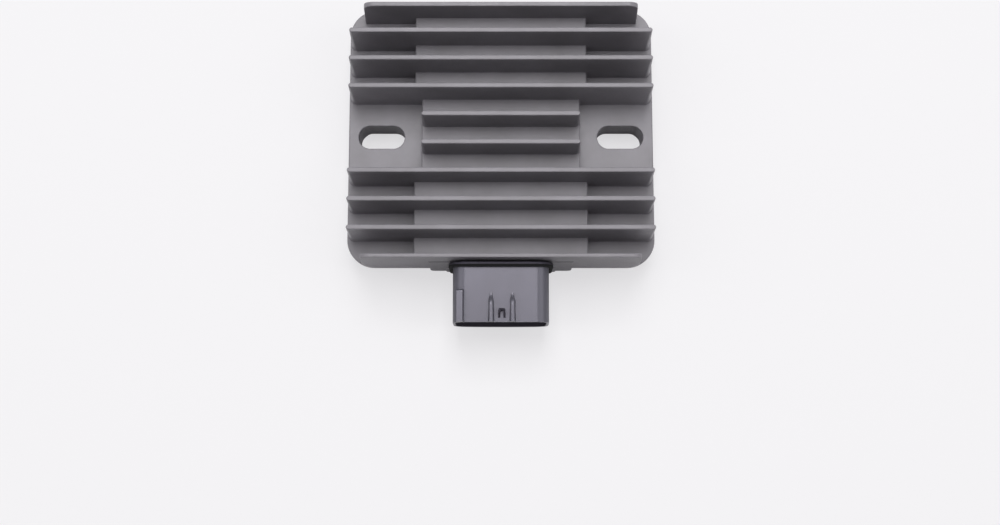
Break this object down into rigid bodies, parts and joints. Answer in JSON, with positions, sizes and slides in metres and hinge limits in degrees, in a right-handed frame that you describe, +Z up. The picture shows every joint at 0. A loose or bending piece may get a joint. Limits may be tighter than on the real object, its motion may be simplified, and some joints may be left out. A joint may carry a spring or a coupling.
{
  "type": "voltage regulator rectifier",
  "caption": "Finned die-cast regulator rectifier with potted electronics underneath, slotted mounting ears and a plug-in electrical connector on its front wall.",
  "frame": {"origin": "on the base plane, midway between the centres of the two mounting slots", "axes": "+Z up from the base through the fins; the connector faces -Y; X runs along the fins, from one mounting slot to the other"},
  "size_m": [0.102, 0.1071, 0.031],
  "materials": {
    "cast_aluminium": "satin dark grey coating over the casting",
    "shell_plastic": "moulded, satin black",
    "gasket_rubber": "moulded, matte black",
    "tinned_brass": "bright tin plating",
    "bar_copper": "stamped copper",
    "alumina": "fired ceramic",
    "adhesive": "cured adhesive film",
    "potting_epoxy": "poured black compound",
    "board_laminate": "coated laminate",
    "package_plastic": "moulded"
  },
  "bodies": {
    "root": {"connector_gasket": "gasket_rubber", "connector_shell": "shell_plastic", "control_board": "board_laminate", "control_ic": "package_plastic", "diode_1": "package_plastic", "diode_2": "package_plastic", "diode_3": "package_plastic", "filter_capacitor": "package_plastic", "gate_pin_1": "tinned_brass", "gate_pin_2": "tinned_brass", "gate_pin_3": "tinned_brass", "gate_resistor_1": "package_plastic", "gate_resistor_2": "package_plastic", "gate_resistor_3": "package_plastic", "heatsink_housing": "cast_aluminium", "negative_busbar": "bar_copper", "phase_bar_1": "bar_copper", "phase_bar_2": "bar_copper", "phase_bar_3": "bar_copper", "positive_busbar": "bar_copper", "potting_compound": "potting_epoxy", "power_substrate": "alumina", "terminal_negative": "tinned_brass", "terminal_phase_1": "tinned_brass", "terminal_phase_2": "tinned_brass", "terminal_phase_3": "tinned_brass", "terminal_positive": "tinned_brass", "terminal_sense": "tinned_brass", "thermal_adhesive": "adhesive", "thyristor_1": "package_plastic", "thyristor_2": "package_plastic", "thyristor_3": "package_plastic", "zener_diode": "package_plastic"}
  },
  "joints": []
}
